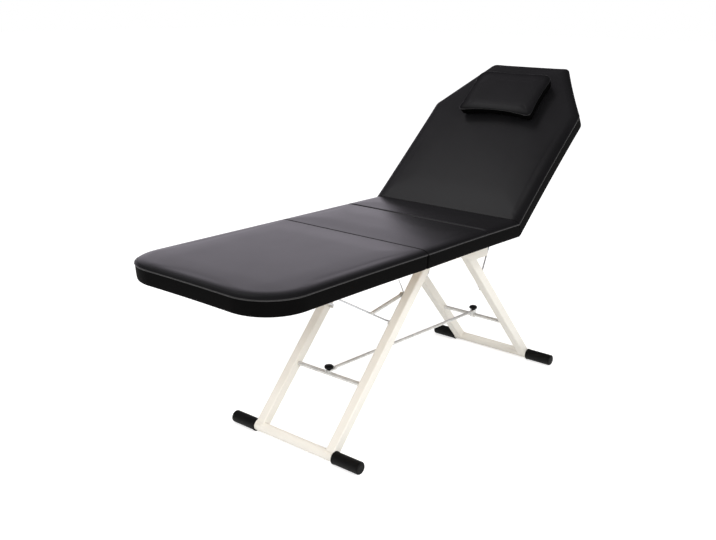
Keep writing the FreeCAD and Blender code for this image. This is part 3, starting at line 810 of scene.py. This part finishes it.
def legrest_cushion():
    """Leg rest pad with large round corners at the foot end."""
    corners = rectangle(legrest_low.x, legrest_high.x, HALF_WIDTH, FOOT_CORNER, SEAM_CORNER)
    length = spread(legrest_high.x - legrest_low.x)
    width = spread(2 * HALF_WIDTH)
    pad = Cushion("legrest_cushion", corners, (0, 1, 2, 3), {1: SEAM_ROUND}, [length, width, reverse(length), width],
                  PIPING_HEIGHT, CROWN - SWELL, CROWN_REACH, [SIDE_DRAW] * 4)
    piece = pad.build(SWELL, SWELL_REACH)
    finish_cushion(piece, FLAT, ["legrest_pad"])
    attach(piece, "legrest")
    cord = sweep(pad.welt_line(2, 1), PIPING_RADIUS)
    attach(trim("legrest_piping", [cord], HIGHLIT_PIPING_LEATHER, FLAT), "legrest")
    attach(trim("legrest_staples", pad.staples(), ZINC, FLAT), "legrest")


def seat_cushion():
    """Seat pad with its lumbar strip sewn off by a channel; its end leans against the back."""
    end = BACK_HINGE.x - CREASE_SET_BACK - CREASE_GAP
    corners = rectangle(seat_low.x, end, HALF_WIDTH, SEAM_CORNER, LEAST_CORNER)
    channel = (seat_high.x + lumbar_low.x) / 2
    span = end - seat_low.x
    length = spread(span, [(channel - seat_low.x, CHANNEL_REACH), (span, CREASE_BLEND)])
    width = spread(2 * HALF_WIDTH)
    pad = Cushion("seat_cushion", corners, (0, 1, 2, 3), {1: CREASE_ROUND, 3: SEAM_ROUND},
                  [length, width, reverse(length), width], PIPING_HEIGHT, CROWN - SWELL, CROWN_REACH, [SIDE_DRAW] * 4,
                  lean=(end, math.tan(BACK_ANGLE / 2)), channel=channel)
    piece = pad.build(SWELL, SWELL_REACH)
    finish_cushion(piece, FLAT, ["seat_pad", "lumbar_pad"])
    crease_blend(piece)
    cords = [sweep(pad.welt_line(first, last), PIPING_RADIUS) for first, last in ((0, 1), (2, 3))]
    crease_blend(trim("seat_piping", cords, HIGHLIT_PIPING_LEATHER, FLAT))
    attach(trim("seat_staples", pad.staples(), ZINC, FLAT), "seat")


def back_cushion():
    """Back pad with its shoulders cut off towards the head; its lower end leans against the seat."""
    start = BACK_HINGE.x + CREASE_SET_BACK + CREASE_GAP
    shoulder_x = BACK_HINGE.x + BACK_SHOULDER
    head = BACK_HEAD_WIDTH / 2
    corners = [(start, -HALF_WIDTH, LEAST_CORNER), (shoulder_x, -HALF_WIDTH, SHOULDER_CORNER),
               (back_high.x, -head, HEAD_CORNER), (back_high.x, head, HEAD_CORNER),
               (shoulder_x, HALF_WIDTH, SHOULDER_CORNER), (start, HALF_WIDTH, LEAST_CORNER)]
    length = spread(shoulder_x - start, [(0, CREASE_BLEND)])
    chamfer = spread(math.hypot(back_high.x - shoulder_x, HALF_WIDTH - head))
    width = spread(2 * HALF_WIDTH)
    pad = Cushion("back_cushion", corners, (0, 2, 3, 5), {5: CREASE_ROUND},
                  [length, chamfer, width, chamfer, reverse(length), width],
                  PIPING_HEIGHT, CROWN - SWELL, CROWN_REACH, [SIDE_DRAW] * 6, lean=(start, -math.tan(BACK_ANGLE / 2)))
    piece = pad.build(SWELL, SWELL_REACH)
    finish_cushion(piece, BACK_PLACE, ["back_pad"])
    crease_blend(piece)
    cord = sweep(pad.welt_line(0, 5), PIPING_RADIUS)
    crease_blend(trim("back_piping", [cord], HIGHLIT_PIPING_LEATHER, BACK_PLACE))
    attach(trim("back_staples", pad.staples(), ZINC, BACK_PLACE), "backrest")


def head_pillow():
    """Small box pillow lying on the upper part of the back."""
    corners = rectangle(pillow_low.x, pillow_high.x, pillow_high.y, PILLOW_CORNER, PILLOW_UPPER_CORNER)
    length = spread(pillow_high.x - pillow_low.x)
    width = spread(2 * pillow_high.y)
    crown = pillow_high.z - pillow_low.z - PILLOW_BAND - PILLOW_SWELL
    pad = Cushion("head_pillow_cushion", corners, (0, 1, 2, 3), {}, [length, width, reverse(length), width],
                  PILLOW_BAND, crown, PILLOW_REACH, [PILLOW_DRAW] * 3 + [PILLOW_FRONT_DRAW], tuck=PILLOW_TUCK,
                  under=PILLOW_UNDER)
    piece = pad.build(PILLOW_SWELL, PILLOW_SWELL_REACH)
    place = RAISE @ Matrix.Translation((0, 0, pillow_low.z + WRAP_THICKNESS))
    finish_cushion(piece, place, ["head_pillow"])
    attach(piece, "pillow")
    cord = sweep(pad.welt_line(0, 0)[:-1], PILLOW_PIPING, sides=8, closed=True)
    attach(trim("head_pillow_piping", [cord], LEATHER, place), "pillow")


# Steel frame and fittings

def tube_piece(node, body, start, end, size):
    """Square tube with rounded corners in place of a node, between two points."""
    shell = moved(square_tube((end - start).length, size), along(start, end))
    hard_piece(node + "_tube", [shell], "cream_paint", body, [node])


def seat_frame():
    """Rails and cross tubes under the seat."""
    for name in ("seat_rail_left", "seat_rail_right", "seat_cross_front", "seat_cross_rear"):
        low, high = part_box(name)
        middle = (low + high) / 2
        lengthwise = "rail" in name
        half = Vector(((high.x - low.x) / 2, 0, 0)) if lengthwise else Vector((0, (high.y - low.y) / 2, 0))
        tube_piece(name, "seat", middle - half, middle + half, high.z - low.z)


def pad_rails():
    """Rails that stiffen the boards of the leg rest and the back, with their screws."""
    boards = (("legrest", "legrest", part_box, Matrix()), ("back", "backrest", flat_box, RAISE))
    for prefix, body, box_of, place in boards:
        screws = []
        for side, sign in SIDES:
            node = prefix + "_rail_" + side
            low, high = box_of(node)
            middle = (low + high) / 2
            half = Vector(((high.x - low.x) / 2, 0, 0))
            tube_piece(node, body, place @ (middle - half), place @ (middle + half), high.z - low.z)
            for share in RAIL_SCREW_SHARES:
                screws.append(moved(screw(), place @ screw_place(middle + half * share, low.z)))
        hard_piece(prefix + "_rail_screws", screws, "zinc_steel", body)


def screw():
    """Button-head screw with a round recess, standing on +Z."""
    recess = SCREW_RADIUS * 0.38
    profile = [(SCREW_RADIUS, -SCREW_HEIGHT / 2), (SCREW_RADIUS, 0), (SCREW_RADIUS * 0.94, SCREW_HEIGHT * 0.45),
               (SCREW_RADIUS * 0.75, SCREW_HEIGHT * 0.8), (SCREW_RADIUS * 0.5, SCREW_HEIGHT),
               (recess, SCREW_HEIGHT), (recess, SCREW_HEIGHT * 0.3)]
    return lathe(profile, 20)


def screw_place(at, height):
    """Matrix for a screw that stands head down under a face at a height."""
    return Matrix.Translation((at.x, at.y, height)) @ Matrix.Rotation(math.pi, 4, "X")


def hinge_screws():
    """Screws through the leaves of the four butt hinges."""
    leaves = (("legrest_hinge_leaves", "legrest", LEGREST_HINGE, -1, Matrix()),
              ("legrest_hinge_seat_leaves", "seat", LEGREST_HINGE, 1, Matrix()),
              ("back_hinge_seat_leaves", "seat", BACK_HINGE, -1, Matrix()),
              ("back_hinge_leaves", "backrest", BACK_HINGE, 1, RAISE))
    middle_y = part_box("legrest_hinge_pins")[1].y - HINGE_LENGTH / 2
    for node, body, pin, way, place in leaves:
        x = pin.x + way * LEAF_SCREW_FROM_PIN
        shells = []
        for side, sign in SIDES:
            for k in (-1, 0, 1):
                at = Vector((x, sign * middle_y + k * LEAF_SCREW_SPACING, 0))
                shells.append(moved(screw(), place @ screw_place(at, PAD_BOTTOM - LEAF_THICKNESS)))
        hard_piece(node + "_screws", shells, "zinc_steel", body)


def legs(end, body, pivot):
    """Legs, end plugs, foot sleeves and weld beads of one end of the frame."""
    tube_low, tube_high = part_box(end + "_foot_tube")
    bar_low, bar_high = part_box(end + "_crossbar")
    foot = (tube_low + tube_high) / 2
    crossbar = (bar_low + bar_high) / 2
    foot_radius = (tube_high.z - tube_low.z) / 2
    bar_radius = (bar_high.z - bar_low.z) / 2
    down = (foot - pivot).normalized()
    plugs, beads = [], []
    for side, sign in SIDES:
        low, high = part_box(end + "_leg_" + side)
        size = high.y - low.y
        aside = AXIS_Y * (low.y + high.y) / 2
        top = pivot - down * LEG_OVERRUN + aside
        tube_piece(end + "_leg_" + side, body, top, foot + aside - down * foot_radius / 2, size)
        plugs.append(moved(end_plug(size), along(top, top - down)))
        beads.append(moved(foot_weld(size, foot_radius), along(foot + aside, top)))
        face = Vector((crossbar.x, aside.y - sign * size / 2, crossbar.z))
        beads.append(moved(ring_weld(bar_radius), along(face, face - AXIS_Y * sign)))
        foot_sleeve(end + "_foot_sleeve_" + side, body, foot, sign)
    hard_piece(end + "_leg_end_plugs", plugs, "black_plastic", body, [end + "_leg_plugs"])
    hard_piece(end + "_welds", beads, "cream_paint", body)


def end_plug(size):
    """Plastic plug on the end of a square tube, with a softened rim."""
    rim = PLUG_THICKNESS * 0.6
    levels = ((size, 0), (size, PLUG_THICKNESS - rim), (size - rim, PLUG_THICKNESS - 0.2 * rim),
              (size - 2.4 * rim, PLUG_THICKNESS))
    rings = [rounded_square(width, TUBE_CORNER) for width, height in levels]
    return loft([np.column_stack([ring, np.full(len(ring), height)]) for ring, (width, height) in zip(rings, levels)])


def foot_weld(size, radius):
    """Weld bead where a square leg stands on a round tube; the tube's axis is +X and the leg goes up +Z."""
    outline = rounded_square(size, TUBE_CORNER, steps=WELD_STEPS)
    dense = np.vstack([np.linspace(a, b, WELD_STEPS if np.linalg.norm(b - a) > TUBE_CORNER else 1, endpoint=False)
                       for a, b in zip(outline, np.roll(outline, -1, axis=0))])
    heights = np.sqrt(np.maximum(radius ** 2 - dense[:, 1] ** 2, 0))
    return sweep(np.column_stack([dense, heights]), WELD_RADIUS, sides=8, closed=True, ripple=WELD_RIPPLE)


def ring_weld(radius):
    """Weld bead round a bar that stands on a face along +Z."""
    turns = np.linspace(0, 2 * math.pi, 28, endpoint=False)
    circle = np.column_stack([radius * np.cos(turns), radius * np.sin(turns), np.zeros(len(turns))])
    return sweep(circle, WELD_RADIUS * 0.9, sides=8, closed=True, ripple=WELD_RIPPLE)


def foot_sleeve(node, body, foot, sign):
    """Rubber sleeve on the end of a foot tube: lip at its mouth, rounded closed end with a raised disc."""
    low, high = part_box(node)
    radius = high.z - foot.z
    length = high.y - low.y
    mouth = Vector((foot.x, low.y if sign > 0 else high.y, foot.z))
    bore = (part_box(node[:node.index("_")] + "_foot_tube")[1].z - foot.z)
    profile = [(bore, SLEEVE_LIP_WIDTH), (bore, 0), (radius - SLEEVE_LIP, 0), (radius, SLEEVE_LIP),
               (radius, SLEEVE_LIP_WIDTH), (radius - SLEEVE_LIP, SLEEVE_LIP_WIDTH + SLEEVE_LIP),
               (radius - SLEEVE_LIP, length - SLEEVE_EDGE)]
    for step in range(1, 6):
        turn = math.pi / 2 * step / 5
        profile.append((radius - SLEEVE_LIP - SLEEVE_EDGE * (1 - math.cos(turn)),
                        length - SLEEVE_DISC_STEP - SLEEVE_EDGE * (1 - math.sin(turn))))
    profile += [(SLEEVE_DISC + SLEEVE_DISC_STEP, length - SLEEVE_DISC_STEP), (SLEEVE_DISC, length)]
    points, faces = moved(lathe(profile), along(mouth, mouth + AXIS_Y * sign))
    points[:, 2] = np.maximum(points[:, 2], 0)
    hard_piece(node + "_cap", [(points, faces)], "black_rubber", body, [node])


def fluted_knob(node, body):
    """Mushroom hand knob with shallow grip flutes round its head, on its bolt."""
    low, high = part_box(node)
    middle = (low + high) / 2
    radius = (high.x - low.x) / 2
    base = high.z - KNOB_HEAD
    profile = [(across * radius, up * KNOB_HEAD) for across, up in KNOB_PROFILE]
    points, faces = lathe(profile, 8 * KNOB_FLUTES)
    turns = np.arctan2(points[:, 1], points[:, 0])
    out = np.linalg.norm(points[:, :2], axis=1)
    grip = np.clip((out / radius - 0.75) / 0.25, 0, 1)
    points[:, :2] *= (1 - KNOB_FLUTE_DEPTH / radius * grip * (0.5 - 0.5 * np.cos(KNOB_FLUTES * turns)))[:, None]
    bolt = lathe([(KNOB_BOLT_RADIUS * 0.8, 0), (KNOB_BOLT_RADIUS, 0.6 * MM),
                  (KNOB_BOLT_RADIUS, base - low.z + MM)], 20)
    grip_shell = moved((points, faces), Matrix.Translation((middle.x, middle.y, base)))
    bolt_shell = moved(bolt, Matrix.Translation((middle.x, middle.y, low.z)))
    hard_piece(node + "_grip", [grip_shell], "black_plastic", body, [node])
    hard_piece(node + "_bolt", [bolt_shell], "zinc_steel", body)


legrest_cushion()
seat_cushion()
back_cushion()
head_pillow()
seat_frame()
pad_rails()
hinge_screws()
legs("front", "front_legs", hinge_at["leg_fold"])
legs("rear", "rear_legs", hinge_at["rear_leg_fold"])
fluted_knob("front_knob", "front_knob")
fluted_knob("rear_knob", "rear_knob")


# Studio

WALL_DIRECTION = (0.765, 0.644, 0)
WALL_TINT = (0.95, 0.89, 1.0, 1)
ROOM_LEVEL = 0.055
AMBIENT_LEVEL = 0.62
FLOOR_GLOW = 0.62
FLOOR_HALF = 30.0


def studio_world():
    """White to the camera, a bright wall and a dark room in reflections, and an even soft light otherwise."""
    world = bpy.data.worlds.new("studio")
    bpy.context.scene.world = world
    world.use_nodes = True
    tree = world.node_tree
    background = tree.nodes["Background"]
    path = add_node(tree, "LightPath")
    mirrored = mirror_ray(tree, path)
    place = add_node(tree, "TexCoord")
    axes = add_node(tree, "SeparateXYZ")
    tree.links.new(place.outputs["Generated"], axes.inputs["Vector"])
    ahead = add_node(tree, "VectorMath", operation="DOT_PRODUCT")
    tree.links.new(place.outputs["Generated"], ahead.inputs[0])
    ahead.inputs[1].default_value = WALL_DIRECTION
    wall = product(tree, between(tree, ahead.outputs["Value"], 0.0, 1.0, (0.05, 0.6)),
                   between(tree, axes.outputs["Z"], 1.0, 0.12, (0.19, 0.5)))
    room = between(tree, wall, ROOM_LEVEL, 1.0)
    ambient = add_node(tree, "Mix", data_type="FLOAT", A=AMBIENT_LEVEL)
    tree.links.new(mirrored, ambient.inputs["Factor"])
    tree.links.new(room, ambient.inputs["B"])
    seen = add_node(tree, "Mix", data_type="FLOAT", B=1.0)
    tree.links.new(path.outputs["Is Camera Ray"], seen.inputs["Factor"])
    tree.links.new(ambient.outputs["Result"], seen.inputs["A"])
    tree.links.new(seen.outputs["Result"], background.inputs["Strength"])
    tint = add_node(tree, "Mix", data_type="RGBA")
    tint.inputs[6].default_value, tint.inputs[7].default_value = (1, 1, 1, 1), WALL_TINT
    tree.links.new(mirrored, tint.inputs["Factor"])
    tree.links.new(tint.outputs[2], background.inputs["Color"])


def product(tree, first, second):
    """Product of two values."""
    node = add_node(tree, "Math", operation="MULTIPLY")
    tree.links.new(first, node.inputs[0])
    tree.links.new(second, node.inputs[1])
    return node.outputs["Value"]


def mirror_ray(tree, path):
    """1 for a ray reflected by a glossy surface or let through by a clear one, else 0."""
    either = add_node(tree, "Math", operation="MAXIMUM")
    tree.links.new(path.outputs["Is Glossy Ray"], either.inputs[0])
    tree.links.new(path.outputs["Is Transmission Ray"], either.inputs[1])
    return either.outputs["Value"]


def studio_floor():
    """Pale floor that looks white to the camera and keeps a soft shadow."""
    made = bpy.data.materials.new("studio_floor")
    made.use_nodes = True
    tree = made.node_tree
    tree.nodes.remove(tree.nodes["Principled BSDF"])
    lit = add_node(tree, "BsdfDiffuse", Color=(0.8, 0.8, 0.8, 1))
    glow = add_node(tree, "Emission", Color=(1, 1, 1, 1))
    path = add_node(tree, "LightPath")
    seen = add_node(tree, "Math", operation="MAXIMUM")
    tree.links.new(path.outputs["Is Camera Ray"], seen.inputs[0])
    tree.links.new(mirror_ray(tree, path), seen.inputs[1])
    tree.links.new(between(tree, seen.outputs["Value"], 0.0, FLOOR_GLOW), glow.inputs["Strength"])
    both = add_node(tree, "AddShader")
    tree.links.new(lit.outputs["BSDF"], both.inputs[0])
    tree.links.new(glow.outputs["Emission"], both.inputs[1])
    tree.links.new(both.outputs["Shader"], tree.nodes["Material Output"].inputs["Surface"])
    corners = np.array([(x * FLOOR_HALF, y * FLOOR_HALF, 0) for x, y in ((-1, -1), (1, -1), (1, 1), (-1, 1))])
    new_object("studio_floor", mesh_from("studio_floor", (corners, [(0, 1, 2, 3)])), made)


def softbox(name, place, target, size, power, mirrored=True):
    """Square area light aimed at a point; it can be kept out of reflections."""
    light = bpy.data.lights.new(name, "AREA")
    light.size = size
    light.energy = power
    lamp = bpy.data.objects.new(name, light)
    lamp.visible_glossy = mirrored
    lamp.location = place
    lamp.rotation_euler = (Vector(target) - Vector(place)).to_track_quat("-Z", "Y").to_euler()
    bpy.context.scene.collection.objects.link(lamp)


def photo_camera():
    """Camera at the photograph's place, direction and focal length."""
    data = bpy.data.cameras.new("photo_camera")
    data.sensor_width = SENSOR_WIDTH
    data.lens = SENSOR_WIDTH * FOCAL_PIXELS / IMAGE_WIDTH
    camera = bpy.data.objects.new("photo_camera", data)
    bpy.context.scene.collection.objects.link(camera)
    azimuth, elevation, roll = (math.radians(a) for a in (CAMERA_AZIMUTH, CAMERA_ELEVATION, CAMERA_ROLL))
    back = Vector((math.sin(azimuth) * math.cos(elevation), -math.cos(azimuth) * math.cos(elevation),
                   math.sin(elevation)))
    right = Vector((math.cos(azimuth), math.sin(azimuth), 0))
    up = back.cross(right)
    across = right * math.cos(roll) + up * math.sin(roll)
    upright = up * math.cos(roll) - right * math.sin(roll)
    turn = Matrix((across, upright, back)).transposed().to_4x4()
    camera.matrix_world = Matrix.Translation(Vector((LEGREST_HINGE.x, 0, 0)) + CAMERA_FROM_HINGE) @ turn
    bpy.context.scene.camera = camera


studio_world()
studio_floor()
softbox("key", (-0.6, -3.3, 2.7), (0, 0, 0.4), 2.2, 77, mirrored=False)
softbox("fill", (-3.2, -0.6, 1.7), (0, 0, 0.3), 2.0, 37, mirrored=False)
softbox("back_sheen", (-0.8, 1.35, 2.7), (0.5, 0, 0.8), 2.0, 7.5)
softbox("corner_sheen", (-2.3, -2.4, 2.9), (-0.5, -0.2, 0.6), 0.9, 1.0)
photo_camera()
bpy.context.scene.view_settings.view_transform = "Standard"
